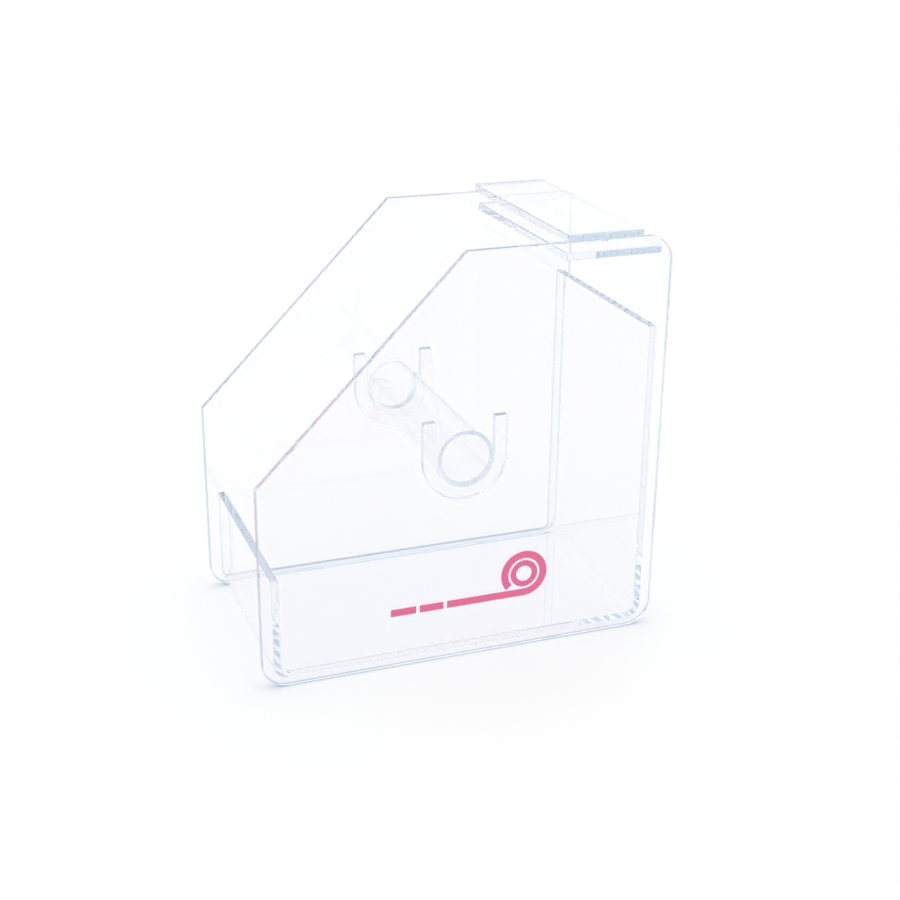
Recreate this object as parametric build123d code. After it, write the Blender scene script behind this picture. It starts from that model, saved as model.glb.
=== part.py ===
"""Free-standing roll dispenser for waxing strips, in clear cast acrylic sheet (PMMA).

Two upright side panels stand on their bottom edges. Between them are bonded a bent tray,
a low guide bar and two U-shaped cradles. A tear bar lies across their top edges. A loose
tube lies in the cradles and carries the roll: it lifts straight up and out for loading.

Millimetres, +Z up. X runs from the open front (-X) to the rear wall (+X), and Y from the
near panel (-Y) to the far panel (+Y). The origin is on the table, under the middle of the
panels.
"""

import os

from build123d import *

# ---- driving dimensions -------------------------------------------------------------
SHEET = 3.0  # all flat pieces are cut from one thickness of sheet

PANEL_LENGTH = 160.0  # front to rear
PANEL_HEIGHT = 160.0
PANEL_FRONT_HEIGHT = 80.0  # where the sloping edge starts, on the front edge
PANEL_TOP_START = 79.0  # where the sloping edge ends, on the top edge, from the front
PANEL_CORNER_R = 10.0  # the other three corners
INNER_WIDTH = 85.0  # clear width between the panels

TRAY_FRONT_INSET = 4.6  # lip's outer face, behind the panels' front edge
TRAY_REAR_INSET = 3.8  # rear wall's outer face, ahead of the panels' rear edge
TRAY_FLOOR_HEIGHT = 2.4  # underside of the floor, above the table
TRAY_LIP_TOP = 43.2
TRAY_BEND_INNER_R = 2.5  # line bend, on its inner side
REAR_WINDOW_HEIGHT = 27.9  # rear wall's top edge up to the guide bar

GUIDE_BAR_FRONT_INSET = 42.3  # front edge, ahead of the panels' rear edge
TEAR_BAR_FRONT_INSET = 43.1  # likewise
STRIP_SLOT_HEIGHT = 4.2  # guide bar's top face up to the tear bar
TEAR_BAR_DEPTH = 30.7  # front to rear

SPINDLE_OD = 22.0
SPINDLE_WALL = 1.5
SPINDLE_SIDE_GAP = 0.5  # tube to each arm of a cradle
SPINDLE_SEAT_GAP = 0.2  # under the tube, in the bottom of the cradles
SPINDLE_END_GAP = 0.3  # at each end, to the panel

CRADLE_ARC_Z = 81.5  # centre of the round bottom, above the table
CRADLE_ARM_RISE = 15.3  # from there up to the square ends of the arms
CRADLE_ARM_W = 5.2

# ---- derived -------------------------------------------------------------------------
X0 = -PANEL_LENGTH / 2  # panels' front edge
X1 = PANEL_LENGTH / 2  # panels' rear edge
HALF_IN = INNER_WIDTH / 2
OUTER_WIDTH = INNER_WIDTH + 2 * SHEET
GUIDE_BAR_FRONT = X1 - GUIDE_BAR_FRONT_INSET
TEAR_BAR_FRONT = X1 - TEAR_BAR_FRONT_INSET
GUIDE_BAR_TOP = PANEL_HEIGHT - STRIP_SLOT_HEIGHT
TRAY_FRONT = X0 + TRAY_FRONT_INSET
TRAY_REAR = X1 - TRAY_REAR_INSET
TRAY_WALL_TOP = GUIDE_BAR_TOP - SHEET - REAR_WINDOW_HEIGHT
TRAY_BEND_OUTER_R = TRAY_BEND_INNER_R + SHEET
SPINDLE_R = SPINDLE_OD / 2
SPINDLE_LENGTH = INNER_WIDTH - 2 * SPINDLE_END_GAP
SLOT_R = SPINDLE_R + SPINDLE_SIDE_GAP
CRADLE_R = SLOT_R + CRADLE_ARM_W
CRADLE_TOP_Z = CRADLE_ARC_Z + CRADLE_ARM_RISE
SPINDLE_Z = CRADLE_ARC_Z - SLOT_R + SPINDLE_R + SPINDLE_SEAT_GAP


def stand_up(profile, y_low, width):
    """Extrude a profile drawn as (x, z) into a solid that spans y_low to y_low + width."""
    upright = Plane.XZ.offset(-(y_low + width)) * profile
    return extrude(upright, amount=width)


def side_panel(y_low):
    """Flat panel: a square with a long sloping edge at its front top, other corners round."""
    top = PANEL_HEIGHT
    r = PANEL_CORNER_R
    with BuildSketch() as outline:
        with BuildLine():
            Line((X0, r), (X0, PANEL_FRONT_HEIGHT))
            Line((X0, PANEL_FRONT_HEIGHT), (X0 + PANEL_TOP_START, top))
            Line((X0 + PANEL_TOP_START, top), (X1 - r, top))
            RadiusArc((X1 - r, top), (X1, top - r), r)
            Line((X1, top - r), (X1, r))
            RadiusArc((X1, r), (X1 - r, 0), r)
            Line((X1 - r, 0), (X0 + r, 0))
            RadiusArc((X0 + r, 0), (X0, r), r)
        make_face()
    return stand_up(outline.sketch, y_low, SHEET)


def bent_tray():
    """Front lip, floor and rear wall in one sheet with two line bends."""
    z0 = TRAY_FLOOR_HEIGHT
    t = SHEET
    outer = TRAY_BEND_OUTER_R
    inner = TRAY_BEND_INNER_R
    with BuildSketch() as outline:
        with BuildLine():
            Line((TRAY_FRONT, TRAY_LIP_TOP), (TRAY_FRONT, z0 + outer))
            RadiusArc((TRAY_FRONT, z0 + outer), (TRAY_FRONT + outer, z0), -outer)
            Line((TRAY_FRONT + outer, z0), (TRAY_REAR - outer, z0))
            RadiusArc((TRAY_REAR - outer, z0), (TRAY_REAR, z0 + outer), -outer)
            Line((TRAY_REAR, z0 + outer), (TRAY_REAR, TRAY_WALL_TOP))
            Line((TRAY_REAR, TRAY_WALL_TOP), (TRAY_REAR - t, TRAY_WALL_TOP))
            Line((TRAY_REAR - t, TRAY_WALL_TOP), (TRAY_REAR - t, z0 + outer))
            RadiusArc((TRAY_REAR - t, z0 + outer), (TRAY_REAR - outer, z0 + t), inner)
            Line((TRAY_REAR - outer, z0 + t), (TRAY_FRONT + outer, z0 + t))
            RadiusArc((TRAY_FRONT + outer, z0 + t), (TRAY_FRONT + t, z0 + outer), inner)
            Line((TRAY_FRONT + t, z0 + outer), (TRAY_FRONT + t, TRAY_LIP_TOP))
            Line((TRAY_FRONT + t, TRAY_LIP_TOP), (TRAY_FRONT, TRAY_LIP_TOP))
        make_face()
    return stand_up(outline.sketch, -HALF_IN, INNER_WIDTH)


def guide_bar():
    """Flat bar between the panels, its rear edge in line with the tray's rear wall."""
    depth = TRAY_REAR - GUIDE_BAR_FRONT
    place = Pos(GUIDE_BAR_FRONT + depth / 2, 0, GUIDE_BAR_TOP - SHEET / 2)
    return place * Box(depth, INNER_WIDTH, SHEET)


def tear_bar():
    """Flat bar across both panels' top edges: strips are torn off against its rear edge."""
    place = Pos(TEAR_BAR_FRONT + TEAR_BAR_DEPTH / 2, 0, PANEL_HEIGHT + SHEET / 2)
    return place * Box(TEAR_BAR_DEPTH, OUTER_WIDTH, SHEET)


def spindle_cradle(y_low):
    """U-shaped bracket, open upwards, bonded flat to a panel's inner face at mid-length."""
    z = CRADLE_ARC_Z
    top = CRADLE_TOP_Z
    with BuildSketch() as outline:
        with BuildLine():
            Line((-CRADLE_R, top), (-CRADLE_R, z))
            ThreePointArc((-CRADLE_R, z), (0, z - CRADLE_R), (CRADLE_R, z))
            Line((CRADLE_R, z), (CRADLE_R, top))
            Line((CRADLE_R, top), (SLOT_R, top))
            Line((SLOT_R, top), (SLOT_R, z))
            ThreePointArc((SLOT_R, z), (0, z - SLOT_R), (-SLOT_R, z))
            Line((-SLOT_R, z), (-SLOT_R, top))
            Line((-SLOT_R, top), (-CRADLE_R, top))
        make_face()
    return stand_up(outline.sketch, y_low, SHEET)


def spindle_tube():
    """Plain tube, open at both ends, lying across the housing in both cradles."""
    along_y = Pos(0, 0, SPINDLE_Z) * Rot(90, 0, 0)
    outside = Cylinder(SPINDLE_R, SPINDLE_LENGTH)
    bore = Cylinder(SPINDLE_R - SPINDLE_WALL, SPINDLE_LENGTH)
    return along_y * (outside - bore)


PIECES = {
    "near_side_panel": side_panel(-HALF_IN - SHEET),
    "far_side_panel": side_panel(HALF_IN),
    "bent_tray": bent_tray(),
    "guide_bar": guide_bar(),
    "tear_bar": tear_bar(),
    "near_spindle_cradle": spindle_cradle(-HALF_IN),
    "far_spindle_cradle": spindle_cradle(HALF_IN - SHEET),
    "spindle_tube": spindle_tube(),
}

os.makedirs("parts", exist_ok=True)
for node, piece in PIECES.items():
    export_step(piece, f"parts/{node}.step")
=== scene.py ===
"""Looks of a clear acrylic roll dispenser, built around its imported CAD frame.

Everything is in metres in the row's frame: +X from the open front to the rear wall,
+Y from the printed panel to the other one, +Z up, with the table at z = 0.
"""
import math

import bmesh
import bpy
from mathutils import Euler, Matrix, Vector


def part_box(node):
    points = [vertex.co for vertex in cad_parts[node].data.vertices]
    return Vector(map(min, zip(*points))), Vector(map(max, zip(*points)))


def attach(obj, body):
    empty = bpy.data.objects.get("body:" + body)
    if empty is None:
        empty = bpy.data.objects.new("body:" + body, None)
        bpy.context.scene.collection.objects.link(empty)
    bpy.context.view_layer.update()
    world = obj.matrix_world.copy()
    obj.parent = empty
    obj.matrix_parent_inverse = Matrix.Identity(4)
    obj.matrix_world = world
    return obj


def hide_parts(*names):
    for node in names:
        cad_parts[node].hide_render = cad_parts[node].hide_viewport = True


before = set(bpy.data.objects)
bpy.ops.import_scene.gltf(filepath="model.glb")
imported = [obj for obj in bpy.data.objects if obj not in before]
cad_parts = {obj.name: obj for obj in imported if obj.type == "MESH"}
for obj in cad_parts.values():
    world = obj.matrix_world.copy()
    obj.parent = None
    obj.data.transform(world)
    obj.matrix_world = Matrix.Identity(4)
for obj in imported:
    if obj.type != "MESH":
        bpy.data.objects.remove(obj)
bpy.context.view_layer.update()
MM = 0.001

# ======================================================================================
# Camera, table and light
# A white table top in a white room, brightest behind and to the right, and blue-grey low
# down in front. Clear sheet shows in such light by its edges, and not by its faces. Far
# off, the table takes the colour of the low sky, so that no hard line shows behind it.
# ======================================================================================
CAMERA_PLACE = (-0.18950, -0.52381, 0.29288)
CAMERA_TURN = (68.028, -0.614, -20.628)  # degrees about X, Y and Z
LENS = 60.49
TABLE_DROP = 0.05 * MM  # keeps the panels' bottom edges off the table's surface
TABLE_SIZE = 40.0
FADE_FROM = 2.5  # between these distances the table turns to the colour of the low sky
FADE_TO = 9.0
LIGHT_BOUNCES = 200  # light runs along inside the sheets and leaves them after many turns
SKY_STRENGTH = 1.14
SKY_STOPS = ((0.0, "#B4BFCC"), (0.30, "#EAEEF2"), (0.65, "#FFFFFF"))  # by height, 1 overhead
SKY_LEAN = (0.08, 0.20, 1.0)  # the stops' height, which leans back and to the right


def linear(code):
    """An sRGB hex colour such as "#DDE6F0" as linear red, green, blue and 1."""
    parts = [int(code[i : i + 2], 16) / 255 for i in (1, 3, 5)]
    return [p / 12.92 if p <= 0.04045 else ((p + 0.055) / 1.055) ** 2.4 for p in parts] + [1.0]


def add(tree, kind, links=(), inputs=(), **settings):
    """Add a node, with its links as {input: output}, its inputs' values and its settings."""
    node = tree.nodes.new(kind)
    for key, value in settings.items():
        setattr(node, key, value)
    for key, value in dict(inputs).items():
        node.inputs[key].default_value = value
    for key, output in dict(links).items():
        tree.links.new(output, node.inputs[key])
    return node


camera = bpy.data.objects.new("camera", bpy.data.cameras.new("camera"))
camera.data.lens = LENS
camera.data.sensor_width = 36
camera.data.clip_start = 0.01
camera.data.clip_end = 2 * TABLE_SIZE
camera.location = CAMERA_PLACE
camera.rotation_euler = Euler([math.radians(a) for a in CAMERA_TURN])
bpy.context.scene.collection.objects.link(camera)
bpy.context.scene.camera = camera
bpy.context.scene.view_settings.view_transform = "Standard"
light_paths = bpy.context.scene.cycles
light_paths.max_bounces = LIGHT_BOUNCES
light_paths.transmission_bounces = LIGHT_BOUNCES
light_paths.glossy_bounces = LIGHT_BOUNCES
light_paths.transparent_max_bounces = LIGHT_BOUNCES

world = bpy.data.worlds.new("studio")
bpy.context.scene.world = world
world.use_nodes = True
sky = world.node_tree
sky.nodes.clear()
direction = add(sky, "ShaderNodeTexCoord")
height = add(
    sky, "ShaderNodeVectorMath", operation="DOT_PRODUCT",
    links={0: direction.outputs["Generated"]}, inputs={1: SKY_LEAN},
)
ramp = add(sky, "ShaderNodeValToRGB", links={"Fac": height.outputs["Value"]})
stops = ramp.color_ramp.elements
stops.new(SKY_STOPS[1][0])
for stop, (place, colour) in zip(stops, SKY_STOPS):
    stop.position = place
    stop.color = linear(colour)
glow = add(
    sky, "ShaderNodeBackground",
    links={"Color": ramp.outputs["Color"]}, inputs={"Strength": SKY_STRENGTH},
)
add(sky, "ShaderNodeOutputWorld", links={"Surface": glow.outputs["Background"]})

table_mesh = bpy.data.meshes.new("table")
bm = bmesh.new()
bmesh.ops.create_grid(bm, x_segments=1, y_segments=1, size=TABLE_SIZE / 2)
bmesh.ops.translate(bm, verts=bm.verts, vec=(0, 0, -TABLE_DROP))
bm.to_mesh(table_mesh)
bm.free()
table = bpy.data.objects.new("table", table_mesh)
bpy.context.scene.collection.objects.link(table)

# Matt pressed laminate: an even, soft white, a trace warmer than the light.
laminate = bpy.data.materials.new("white_table_laminate")
laminate.use_nodes = True
tree = laminate.node_tree
tree.nodes.clear()
place = add(tree, "ShaderNodeTexCoord")
distance = add(
    tree, "ShaderNodeVectorMath", operation="LENGTH", links={0: place.outputs["Object"]}
)
fade = add(
    tree, "ShaderNodeMapRange", interpolation_type="SMOOTHSTEP",
    links={"Value": distance.outputs["Value"]},
    inputs={"From Min": FADE_FROM, "From Max": FADE_TO},
)
whites = add(
    tree, "ShaderNodeMix", data_type="RGBA",
    links={"Factor": fade.outputs["Result"]},
    inputs={6: linear("#F9F8F6"), 7: linear("#BCC7D4")},
)
surface = add(
    tree, "ShaderNodeBsdfPrincipled",
    links={"Base Color": whites.outputs[2]}, inputs={"Roughness": 0.6},
)
add(tree, "ShaderNodeOutputMaterial", links={"Surface": surface.outputs["BSDF"]})
table_mesh.materials.append(laminate)

# ======================================================================================
# Side panels
# Two panels, laser-cut from 3 mm clear cast acrylic sheet, with one long sloping edge at
# the front top and three round corners. The upper edges are flame-polished, the bottom ones
# carry painted contact shade where they stand on the table, and all are barely eased.
# ======================================================================================
SHEET = 3.0 * MM
PANEL_FRONT_HEIGHT = 80.0 * MM
PANEL_TOP_START = 79.0 * MM
PANEL_CORNER_R = 10.0 * MM
EDGE_EASE = 0.35 * MM
CORNER_STEPS = 24
ABSORPTION_PER_M = 0.5
# Painted shade: a blue-grey tint that darkens the cut edges, standing in for the tones light leaves
# in them.
EDGE_SHADE_TINT = "#98B6D2"
EDGE_ROUGHNESS = 0.05
EDGE_LINE_DEPTH = 0.004 * MM
LINE_SPACING = 0.6 * MM  # a laser leaves lines about 0.15 mm apart, too fine to show
DUST_SPACING = 14.0 * MM
DUST_RADIUS = 0.35 * MM  # most dust is smaller, and would not show
DUST_CORE_RADIUS = 0.21 * MM
DUST_DARKNESS = 0.6
STREAK_PITCH = 4.2 * MM  # along the tray's floor
BAND_LENGTH = math.tau / 10  # of a diagonal wave at a scale of 1
WETTED = 0.3  # the cement took where the streaks' wave is lower
HARDLY_WETTED = 0.45  # and not at all where it is higher than this
FLAMED = 0.1  # how far each finish takes the cut edges' roughness, lines and painted shade
BUFFED = 0.2
POLISHED = 0.5
AS_CUT = 0.8
# Painted contact shade: bottom edges, where they stand on the table, take the full edge tint.
TABLE_CONTACT_SHADE = 1.0
BOND = 0.03 * MM  # how far a cemented face runs into the next piece, so that they look as one
SMOOTH_TURN = math.radians(20)  # faces that meet at less are one curve
HAIR = 0.001 * MM
SQUARE_ON = 0.9  # least share of a normal along an axis that its face lies square to
LEANING = 0.3  # least share of a normal along an axis that its face leans towards


def clear_acrylic(name, tint, grain, face_lines):
    """Clear acrylic: glassy faces, and cut edges that are a little frosted and lined, with painted
    shade in a blue-grey tint.

    grain is 0 along the lines and 1 across them, and face_lines is their depth on the
    faces. Where the cement didn't wet a joint, the edge tint's painted shade shows in streaks.
    """
    material = bpy.data.materials.new(name)
    material.use_nodes = True
    tree = material.node_tree
    tree.nodes.clear()
    edge = add(tree, "ShaderNodeAttribute", attribute_name="cut_edge")
    dry = add(tree, "ShaderNodeAttribute", attribute_name="dry_joint")
    place = add(tree, "ShaderNodeTexCoord")
    streaks = add(
        tree, "ShaderNodeTexWave", wave_type="BANDS", bands_direction="DIAGONAL",
        links={"Vector": place.outputs["Object"]},
        inputs={"Scale": BAND_LENGTH / STREAK_PITCH, "Distortion": 3.0, "Detail": 3.0,
                "Detail Scale": 1.5},
    )
    unwetted = add(
        tree, "ShaderNodeMapRange",
        links={"Value": streaks.outputs["Fac"], "To Max": dry.outputs["Fac"]},
        inputs={"From Min": WETTED, "From Max": HARDLY_WETTED},
    )
    tone = add(
        tree, "ShaderNodeMath", operation="MAXIMUM",
        links={0: edge.outputs["Fac"], 1: unwetted.outputs["Result"]},
    )
    # Painted shade: cut edges and the dry joints' streaks take the blue-grey edge tint.
    colour = add(
        tree, "ShaderNodeMix", data_type="RGBA",
        links={"Factor": tone.outputs[0]},
        inputs={6: linear(tint), 7: linear(EDGE_SHADE_TINT)},
    )
    specks = add(
        tree, "ShaderNodeTexVoronoi",
        links={"Vector": place.outputs["Object"]},
        inputs={"Scale": 1 / DUST_SPACING},
    )
    clean = add(
        tree, "ShaderNodeMapRange",
        links={"Value": specks.outputs["Distance"]},
        inputs={"From Min": DUST_CORE_RADIUS / DUST_SPACING,
                "From Max": DUST_RADIUS / DUST_SPACING,
                "To Min": DUST_DARKNESS, "To Max": 1.0},
    )
    dusty = add(
        tree, "ShaderNodeMix", data_type="RGBA", blend_type="MULTIPLY",
        links={6: colour.outputs[2], 7: clean.outputs["Result"]},
        inputs={"Factor": 1.0},
    )
    rough = add(
        tree, "ShaderNodeMix", data_type="FLOAT",
        links={"Factor": edge.outputs["Fac"]},
        inputs={2: 0.0, 3: EDGE_ROUGHNESS},
    )
    across = add(
        tree, "ShaderNodeMapping",
        links={"Vector": place.outputs["Object"]},
        inputs={"Scale": grain},
    )
    lines = add(
        tree, "ShaderNodeTexNoise",
        links={"Vector": across.outputs["Vector"]},
        inputs={"Scale": 1 / LINE_SPACING, "Detail": 3.0},
    )
    depth = add(
        tree, "ShaderNodeMix", data_type="FLOAT",
        links={"Factor": edge.outputs["Fac"]},
        inputs={2: face_lines / EDGE_LINE_DEPTH, 3: 1.0},
    )
    relief = add(
        tree, "ShaderNodeBump",
        links={"Height": lines.outputs["Fac"], "Strength": depth.outputs[0]},
        inputs={"Distance": EDGE_LINE_DEPTH},
    )
    surface = add(
        tree, "ShaderNodeBsdfPrincipled",
        links={
            "Base Color": dusty.outputs[2],
            "Roughness": rough.outputs[0],
            "Normal": relief.outputs["Normal"],
        },
        inputs={"IOR": 1.49, "Transmission Weight": 1.0},
    )
    passing = add(tree, "ShaderNodeBsdfTransparent", links={"Color": dusty.outputs[2]})
    path = add(tree, "ShaderNodeLightPath")
    lamp_or_glow = add(
        tree, "ShaderNodeMath", operation="MAXIMUM",
        links={0: path.outputs["Is Shadow Ray"], 1: path.outputs["Is Diffuse Ray"]},
    )
    seen = add(
        tree, "ShaderNodeMixShader",
        links={0: lamp_or_glow.outputs[0], 1: surface.outputs["BSDF"], 2: passing.outputs["BSDF"]},
    )
    inside = add(
        tree, "ShaderNodeVolumeAbsorption",
        inputs={"Color": linear("#A9BEDC"), "Density": ABSORPTION_PER_M},
    )
    add(
        tree, "ShaderNodeOutputMaterial",
        links={"Surface": seen.outputs["Shader"], "Volume": inside.outputs["Volume"]},
    )
    return material


def cast_acrylic(lie, grain):
    """Cell-cast sheet: optically flat faces, and edges lined through the thickness by the laser."""
    return clear_acrylic("clear_cast_acrylic_" + lie, "#FDFDFE", grain, face_lines=0.0)


upright_sheet = cast_acrylic("upright_laser_cut", (1, 0, 1))


def piece(name, bm, material, body, *nodes):
    """A bmesh made an object that rides on a body and stands for CAD nodes."""
    bmesh.ops.recalc_face_normals(bm, faces=bm.faces)
    mesh = bpy.data.meshes.new(name)
    bm.to_mesh(mesh)
    bm.free()
    mesh.shade_smooth()
    mesh.set_sharp_from_angle(angle=SMOOTH_TURN)
    mesh.materials.append(material)
    obj = bpy.data.objects.new(name, mesh)
    bpy.context.scene.collection.objects.link(obj)
    weighted = obj.modifiers.new("flat_faces_stay_flat", "WEIGHTED_NORMAL")
    weighted.keep_sharp = True
    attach(obj, body)
    if nodes:
        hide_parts(*nodes)
    return obj


def extruded(outline, rounded, y_low, y_high):
    """A sheet piece from its outline as (x, z) points, rounded as {point's index: radius}."""
    bm = bmesh.new()
    corners = [bm.verts.new((x, y_low, z)) for x, z in outline]
    bm.faces.new(corners)
    for index, radius in rounded.items():
        bmesh.ops.bevel(
            bm, geom=[corners[index]], offset=radius, offset_type="OFFSET", segments=CORNER_STEPS,
            profile=0.5, affect="VERTICES", material=-1,
        )
    grown = bmesh.ops.extrude_face_region(bm, geom=bm.faces[:])
    moved = [v for v in grown["geom"] if isinstance(v, bmesh.types.BMVert)]
    bmesh.ops.translate(bm, verts=moved, vec=(0, y_high - y_low, 0))
    bm.normal_update()
    return bm


def mark(bm, attribute, how_far):
    """Give each face how far it is, from 0 to 1, a cut edge or a dry joint."""
    layer = bm.faces.layers.float.new(attribute)
    bmesh.ops.recalc_face_normals(bm, faces=bm.faces)
    for face in bm.faces:
        face[layer] = float(how_far(face))


def ease(bm, chosen):
    """Take the sharpness off the chosen edges."""
    bmesh.ops.bevel(
        bm, geom=chosen, offset=EDGE_EASE, offset_type="OFFSET", segments=1,
        profile=0.5, affect="EDGES", material=-1,
    )


def panel_finish(face):
    """Top and slope are flame-polished, the rear is polished, and the bottom carries painted
    contact shade from the table.
    """
    if abs(face.normal.y) > SQUARE_ON:
        return 0
    if face.normal.z > LEANING:
        return FLAMED
    if face.normal.z < -LEANING:
        return TABLE_CONTACT_SHADE
    return POLISHED if face.normal.x > 0 else AS_CUT


for name in ("near_side_panel", "far_side_panel"):
    low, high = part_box(name)
    outline = [
        (low.x, low.z),
        (low.x, PANEL_FRONT_HEIGHT),
        (low.x + PANEL_TOP_START, high.z),
        (high.x, high.z),
        (high.x, low.z),
    ]
    rounded = {0: PANEL_CORNER_R, 3: PANEL_CORNER_R, 4: PANEL_CORNER_R}
    bm = extruded(outline, rounded, low.y, high.y)
    rims = [e for e in bm.edges if abs(e.verts[0].co.y - e.verts[1].co.y) < HAIR]
    ease(bm, rims)
    mark(bm, "cut_edge", panel_finish)
    panel = piece(name + "_looks", bm, upright_sheet, "housing", name)

# ======================================================================================
# Printed pictogram
# One pass of pink screen-print ink on the near panel's outer face: a roll seen end on, with
# its strip led off to the left and two pieces torn from it. It carries no lettering.
# ======================================================================================
INK_THICKNESS = 0.04 * MM
INK_BITE = 0.01 * MM  # the solvent ink etches this far into the acrylic
ROLL_CENTRE = Vector((24.0 * MM, 0, 31.0 * MM))
ROLL_R = 9.5 * MM
STRIP_WIDTH = 3.0 * MM
OUTER_TURN = math.radians(310)  # the last turn stops where it would meet the strip
INNER_TURN = (5.6 * MM, 3.2 * MM)  # its two radii
STRIP_ENDS = (ROLL_CENTRE.x, -9.0 * MM, -20.0 * MM, -31.5 * MM)
TEAR_GAP = 1.4 * MM
RING_STEPS = 96
MESH_PITCH = 0.45 * MM  # a printing mesh is about 0.13 mm, too fine to show at this size
MESH_MARK_DEPTH = 0.01 * MM
MOTTLE_SIZE = 4.0 * MM

low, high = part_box("near_side_panel")
face_y = low.y + INK_BITE
bottom = ROLL_CENTRE.z - ROLL_R
bm = bmesh.new()
for r in INNER_TURN:
    bmesh.ops.create_circle(bm, segments=RING_STEPS, radius=r)
bmesh.ops.bridge_loops(bm, edges=bm.edges[:])
bmesh.ops.rotate(bm, verts=bm.verts, matrix=Matrix.Rotation(math.radians(90), 3, "X"))
bmesh.ops.translate(bm, verts=bm.verts, vec=ROLL_CENTRE + Vector((0, face_y, 0)))
for index, (right, left) in enumerate(zip(STRIP_ENDS, STRIP_ENDS[1:])):
    heights = (bottom, bottom + STRIP_WIDTH)
    ends = [bm.verts.new((right, face_y, z)) for z in heights]
    start = bm.edges.new(ends)
    grown = bmesh.ops.extrude_edge_only(bm, edges=[start])
    moved = [v for v in grown["geom"] if isinstance(v, bmesh.types.BMVert)]
    bmesh.ops.translate(bm, verts=moved, vec=(left - right + TEAR_GAP, 0, 0))
    if index == 0:  # the roll's outer turn winds on from the strip's right-hand end
        bmesh.ops.spin(
            bm, geom=ends + [start], cent=ROLL_CENTRE, axis=(0, -1, 0), angle=OUTER_TURN,
            steps=RING_STEPS,
        )
bmesh.ops.remove_doubles(bm, verts=bm.verts, dist=HAIR)
grown = bmesh.ops.extrude_face_region(bm, geom=bm.faces[:])
moved = [v for v in grown["geom"] if isinstance(v, bmesh.types.BMVert)]
bmesh.ops.translate(bm, verts=moved, vec=(0, -INK_THICKNESS, 0))

layer = bm.faces.layers.float.new("base_coat")
for face in bm.faces:
    if face.calc_center_median().y > face_y - HAIR:
        face[layer] = 1.0

# Solvent ink on a pale base coat: a satin, even pink with the faintest mottle, and the
# printing mesh's marks in its gloss. From behind it shows the base coat.
ink = bpy.data.materials.new("pink_screen_print_ink")
ink.use_nodes = True
tree = ink.node_tree
tree.nodes.clear()
place = add(tree, "ShaderNodeTexCoord")
patches = add(
    tree, "ShaderNodeTexNoise",
    links={"Vector": place.outputs["Object"]}, inputs={"Scale": 1 / MOTTLE_SIZE, "Detail": 3.0},
)
pinks = add(
    tree, "ShaderNodeMix", data_type="RGBA",
    links={"Factor": patches.outputs["Fac"]},
    inputs={6: linear("#EF6890"), 7: linear("#EA709A")},
)
facing = add(tree, "ShaderNodeAttribute", attribute_name="base_coat")
coats = add(
    tree, "ShaderNodeMix", data_type="RGBA",
    links={"Factor": facing.outputs["Fac"], 6: pinks.outputs[2]},
    inputs={7: linear("#EFCDD9")},
)
mesh_marks = add(
    tree, "ShaderNodeTexNoise",
    links={"Vector": place.outputs["Object"]}, inputs={"Scale": 1 / MESH_PITCH, "Detail": 1.0},
)
relief = add(
    tree, "ShaderNodeBump",
    links={"Height": mesh_marks.outputs["Fac"]}, inputs={"Distance": MESH_MARK_DEPTH},
)
surface = add(
    tree, "ShaderNodeBsdfPrincipled",
    links={"Base Color": coats.outputs[2], "Normal": relief.outputs["Normal"]},
    inputs={"Roughness": 0.42, "IOR": 1.5},
)
add(tree, "ShaderNodeOutputMaterial", links={"Surface": surface.outputs["BSDF"]})
pictogram = piece("printed_pictogram", bm, ink, "housing")

# ======================================================================================
# Bent tray
# Lip, floor and rear wall are one piece of the same sheet, bent over a hot wire along
# two lines, and bonded between the panels with capillary cement.
# ======================================================================================
TRAY_BEND_INNER_R = 2.5 * MM
TRAY_LIP_TOP = 43.2 * MM
DRY_REACH = 27.0 * MM  # the dry stretch of the near joint, from the rear along the floor
DRY_HEIGHT = 23.0 * MM  # and up the rear wall and the lip
SHARP_TURN = math.radians(60)  # faces that meet at more have a cut edge between them
bent_sheet = cast_acrylic("heat_bent", (0, 1, 1))

low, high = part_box("bent_tray")
outer = TRAY_BEND_INNER_R + SHEET
outline = [
    (low.x, TRAY_LIP_TOP),
    (low.x, low.z),
    (high.x, low.z),
    (high.x, high.z),
    (high.x - SHEET, high.z),
    (high.x - SHEET, low.z + SHEET),
    (low.x + SHEET, low.z + SHEET),
    (low.x + SHEET, TRAY_LIP_TOP),
]
rounded = {1: outer, 2: outer, 5: TRAY_BEND_INNER_R, 6: TRAY_BEND_INNER_R}
bm = extruded(outline, rounded, low.y - BOND, high.y + BOND)
ease(bm, [e for e in bm.edges if e.calc_face_angle() > SHARP_TURN])
lip_x = low.x + 2 * SHEET
dry_x = high.x - DRY_REACH
dry_z = low.z + DRY_HEIGHT
cuts = (((lip_x, 0, 0), (1, 0, 0)), ((dry_x, 0, 0), (1, 0, 0)), ((0, 0, dry_z), (0, 0, 1)))
for place, way in cuts:
    everything = bm.verts[:] + bm.edges[:] + bm.faces[:]
    bmesh.ops.bisect_plane(bm, geom=everything, plane_co=place, plane_no=way)


def tray_finish(face):
    """The lip's top is polished, and the rear wall's top and the ends' rims are buffed."""
    middle = face.calc_center_median()
    if LEANING < abs(face.normal.y) < SQUARE_ON:
        return BUFFED
    if face.normal.z > LEANING and middle.z > TRAY_LIP_TOP - SHEET:
        return POLISHED if middle.x < 0 else BUFFED
    return 0


def tray_joint(face):
    """At the near end the cement drew back from the lip's foot and from the rear bend."""
    middle = face.calc_center_median()
    at_rear = middle.x > dry_x
    at_lip = middle.x < lip_x
    is_dry = face.normal.y < -SQUARE_ON and middle.z < dry_z and (at_rear or at_lip)
    return AS_CUT if is_dry else 0


mark(bm, "cut_edge", tray_finish)
mark(bm, "dry_joint", tray_joint)
tray = piece("bent_tray_looks", bm, bent_sheet, "housing", "bent_tray")

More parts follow.
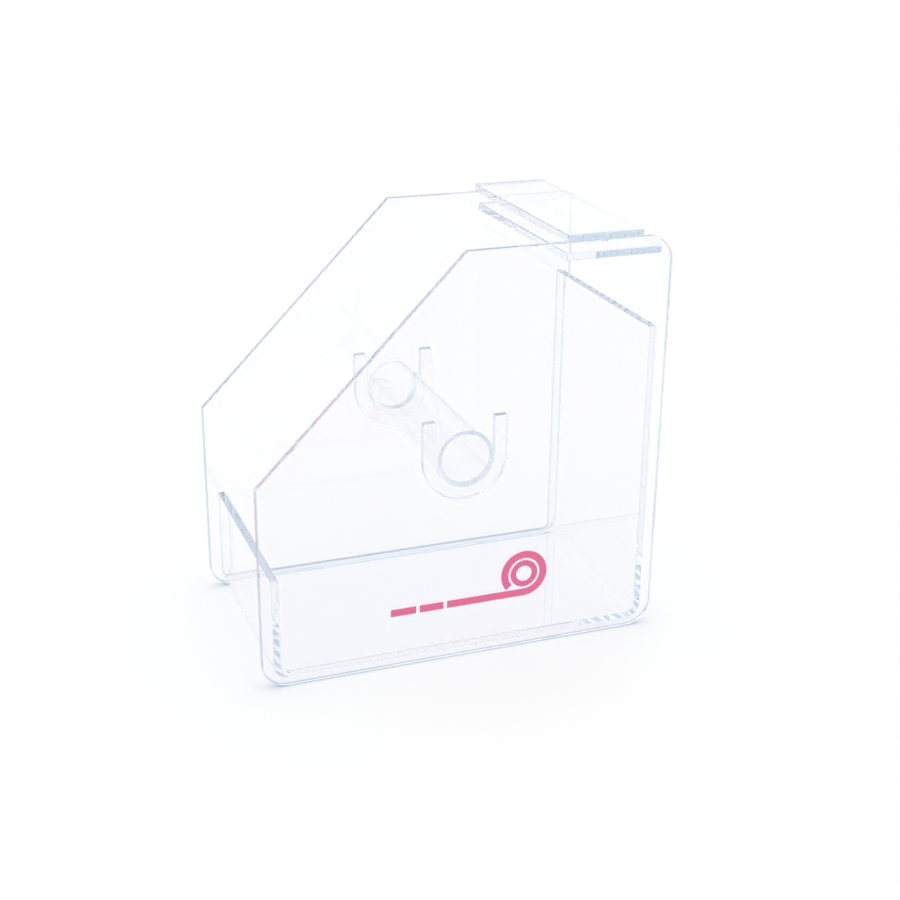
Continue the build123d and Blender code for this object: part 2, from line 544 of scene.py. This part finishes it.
# ======================================================================================
# Guide bar and tear bar
# Flat strips of the same sheet. The guide bar is bonded between the panels, and the tear
# bar lies on their top edges, its ends flush with their outer faces.
# ======================================================================================
flat_sheet = cast_acrylic("flat_laser_cut", (1, 1, 0))
BONDED_SHARE = 0.3  # of the guide bar's near end, from the front

low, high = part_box("guide_bar")
joint_x = low.x + BONDED_SHARE * (high.x - low.x)


def guide_bar_finish(face):
    """Long edges are buffed. The near end is cemented at the front, and as cut behind."""
    if abs(face.normal.z) > SQUARE_ON:
        return 0
    if abs(face.normal.y) < SQUARE_ON:
        return BUFFED
    at_rear = face.calc_center_median().x > joint_x
    return AS_CUT if at_rear and face.normal.y < 0 else 0


def tear_bar_finish(face):
    """Long edges are buffed, and the ends, which stand open, are polished."""
    if abs(face.normal.z) > SQUARE_ON:
        return 0
    return BUFFED if abs(face.normal.y) < SQUARE_ON else POLISHED


# Each bar, how far it runs into what it is cemented to, and its finish.
bars = (
    ("guide_bar", (0, BOND, 0), guide_bar_finish),
    ("tear_bar", (0, 0, BOND), tear_bar_finish),
)
for name, reach, finish in bars:
    low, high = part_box(name)
    low = low - Vector(reach)
    high = high + Vector((0, reach[1], 0))
    bm = bmesh.new()
    bmesh.ops.create_cube(bm, size=1.0)
    bmesh.ops.scale(bm, verts=bm.verts, vec=high - low)
    bmesh.ops.translate(bm, verts=bm.verts, vec=(low + high) / 2)
    ease(bm, bm.edges[:])
    if name == "guide_bar":
        everything = bm.verts[:] + bm.edges[:] + bm.faces[:]
        bmesh.ops.bisect_plane(bm, geom=everything, plane_co=(joint_x, 0, 0), plane_no=(1, 0, 0))
    mark(bm, "cut_edge", finish)
    bar = piece(name + "_looks", bm, flat_sheet, "housing", name)

# ======================================================================================
# Spindle cradles
# Two U-shaped brackets, laser-cut from the same sheet, open upwards and bonded flat to the
# panels' inner faces. The spindle drops in between the arms.
# ======================================================================================
SLOT_R = 11.5 * MM
CRADLE_ARC_Z = 81.5 * MM
CRADLE_TIP_R = 0.8 * MM
TIP_STEPS = 6
ARC_STEPS = 96


def cradle_finish(face):
    """The arms' square ends are polished, and the long edges buffed."""
    if abs(face.normal.y) > SQUARE_ON:
        return 0
    return POLISHED if face.normal.z > SQUARE_ON else BUFFED


for name in ("near_spindle_cradle", "far_spindle_cradle"):
    low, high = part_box(name)
    inward = 1 if low.y < 0 else -1
    bonded = low.y - BOND if inward > 0 else high.y + BOND
    inner = high.y if inward > 0 else low.y
    bm = bmesh.new()
    left = [bm.verts.new((x, bonded, high.z)) for x in (low.x, -SLOT_R)]
    top_edge = bm.edges.new(left)
    grown = bmesh.ops.extrude_edge_only(bm, edges=[top_edge])
    moved = [v for v in grown["geom"] if isinstance(v, bmesh.types.BMVert)]
    bmesh.ops.translate(bm, verts=moved, vec=(0, 0, CRADLE_ARC_Z - high.z))
    tip = [e for e in grown["geom"] if isinstance(e, bmesh.types.BMEdge)]
    tip = [e for e in tip if all(v in moved for v in e.verts)]
    turned = bmesh.ops.spin(
        bm, geom=tip, cent=(0, 0, CRADLE_ARC_Z), axis=(0, -1, 0), angle=math.pi, steps=ARC_STEPS,
    )
    tip = [e for e in turned["geom_last"] if isinstance(e, bmesh.types.BMEdge)]
    grown = bmesh.ops.extrude_edge_only(bm, edges=tip)
    moved = [v for v in grown["geom"] if isinstance(v, bmesh.types.BMVert)]
    bmesh.ops.translate(bm, verts=moved, vec=(0, 0, high.z - CRADLE_ARC_Z))
    bmesh.ops.remove_doubles(bm, verts=bm.verts, dist=HAIR)
    corners = [v for v in bm.verts if abs(v.co.z - high.z) < HAIR]
    bmesh.ops.bevel(
        bm, geom=corners, offset=CRADLE_TIP_R, offset_type="OFFSET", segments=TIP_STEPS,
        profile=0.5, affect="VERTICES", material=-1,
    )
    grown = bmesh.ops.extrude_face_region(bm, geom=bm.faces[:])
    moved = [v for v in grown["geom"] if isinstance(v, bmesh.types.BMVert)]
    bmesh.ops.translate(bm, verts=moved, vec=(0, inner - bonded, 0))
    bm.normal_update()
    ease(bm, [e for e in bm.edges if e.calc_face_angle() > SHARP_TURN and e.verts[0] in moved])
    mark(bm, "cut_edge", cradle_finish)
    cradle = piece(name + "_looks", bm, upright_sheet, "housing", name)

# ======================================================================================
# Spindle tube
# A length of clear extruded acrylic tube, sawn square and polished. It is loose: it turns
# in the cradles and lifts out of them to take a new roll.
# ======================================================================================
TUBE_WALL = 1.5 * MM
TUBE_STEPS = 128
TUBE_END = 0.35  # between buffed and polished
DRAW_LINE_DEPTH = 0.0004 * MM

low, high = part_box("spindle_tube")
middle = (low + high) / 2
radius = (high.z - low.z) / 2

# Extruded tube: a little greyer than cast sheet, with faint lines along it from the die.
extruded_tube = clear_acrylic(
    "clear_extruded_acrylic_tube", "#FBFCFD", (1, 0, 1), face_lines=DRAW_LINE_DEPTH
)
bm = bmesh.new()
wall = [
    bm.verts.new((0, low.y, middle.z + radius)),
    bm.verts.new((0, high.y, middle.z + radius)),
    bm.verts.new((0, high.y, middle.z + radius - TUBE_WALL)),
    bm.verts.new((0, low.y, middle.z + radius - TUBE_WALL)),
]
section = [bm.edges.new((wall[i], wall[(i + 1) % 4])) for i in range(4)]
bmesh.ops.spin(
    bm, geom=wall + section, cent=middle, axis=(0, 1, 0), angle=2 * math.pi, steps=TUBE_STEPS,
    use_merge=True,
)
mark(bm, "cut_edge", lambda face: TUBE_END if abs(face.normal.y) > SQUARE_ON else 0)
tube = piece("spindle_tube_looks", bm, extruded_tube, "spindle", "spindle_tube")
